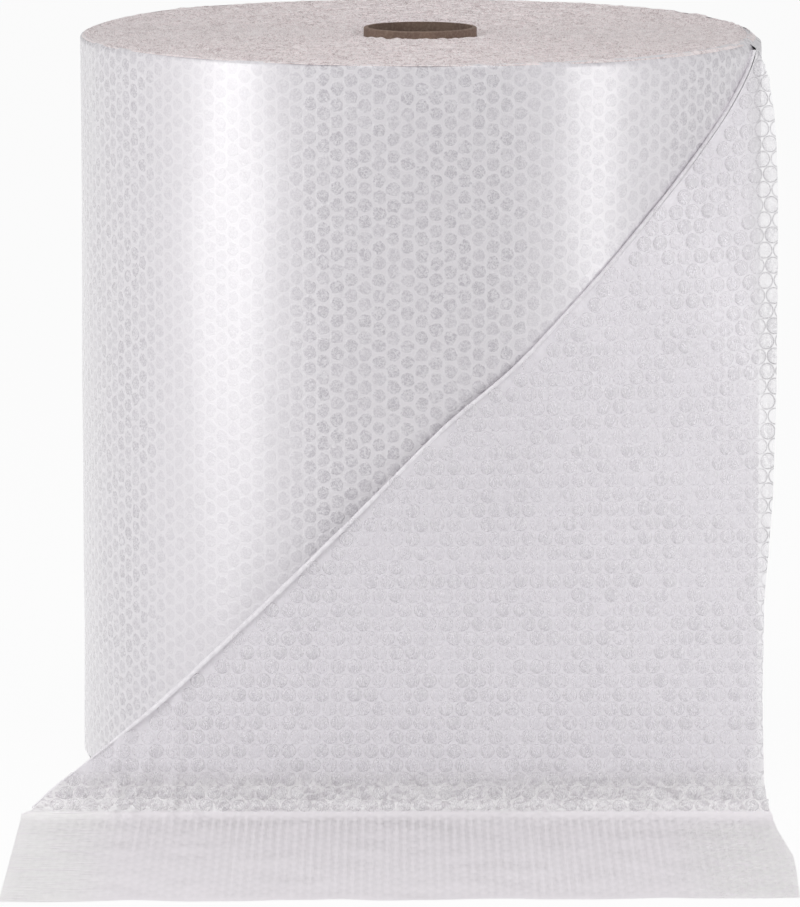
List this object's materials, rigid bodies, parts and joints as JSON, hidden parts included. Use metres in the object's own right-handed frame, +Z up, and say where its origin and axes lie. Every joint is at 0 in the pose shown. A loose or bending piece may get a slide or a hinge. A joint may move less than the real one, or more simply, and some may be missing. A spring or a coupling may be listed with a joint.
{
  "type": "bubble wrap roll",
  "caption": "Upright roll of clear bubble film on a cardboard core, its loose end folded on a slant, hanging down the front and lying out on the floor.",
  "frame": {"origin": "centre of the core's bore at floor level, under the roll", "axes": "+Z up along the core's axis, -Y towards the front where the loose end hangs and lies out, +X to the viewer's right"},
  "size_m": [0.5086, 0.7571, 0.504],
  "materials": {
    "cardboard": "matte brown spiral-wound cardboard",
    "bubble_film": "clear polyethylene bubble film, milky in many layers"
  },
  "bodies": {
    "root": {"core_tube": "cardboard", "bubble_wrap": "bubble_film"}
  },
  "joints": []
}
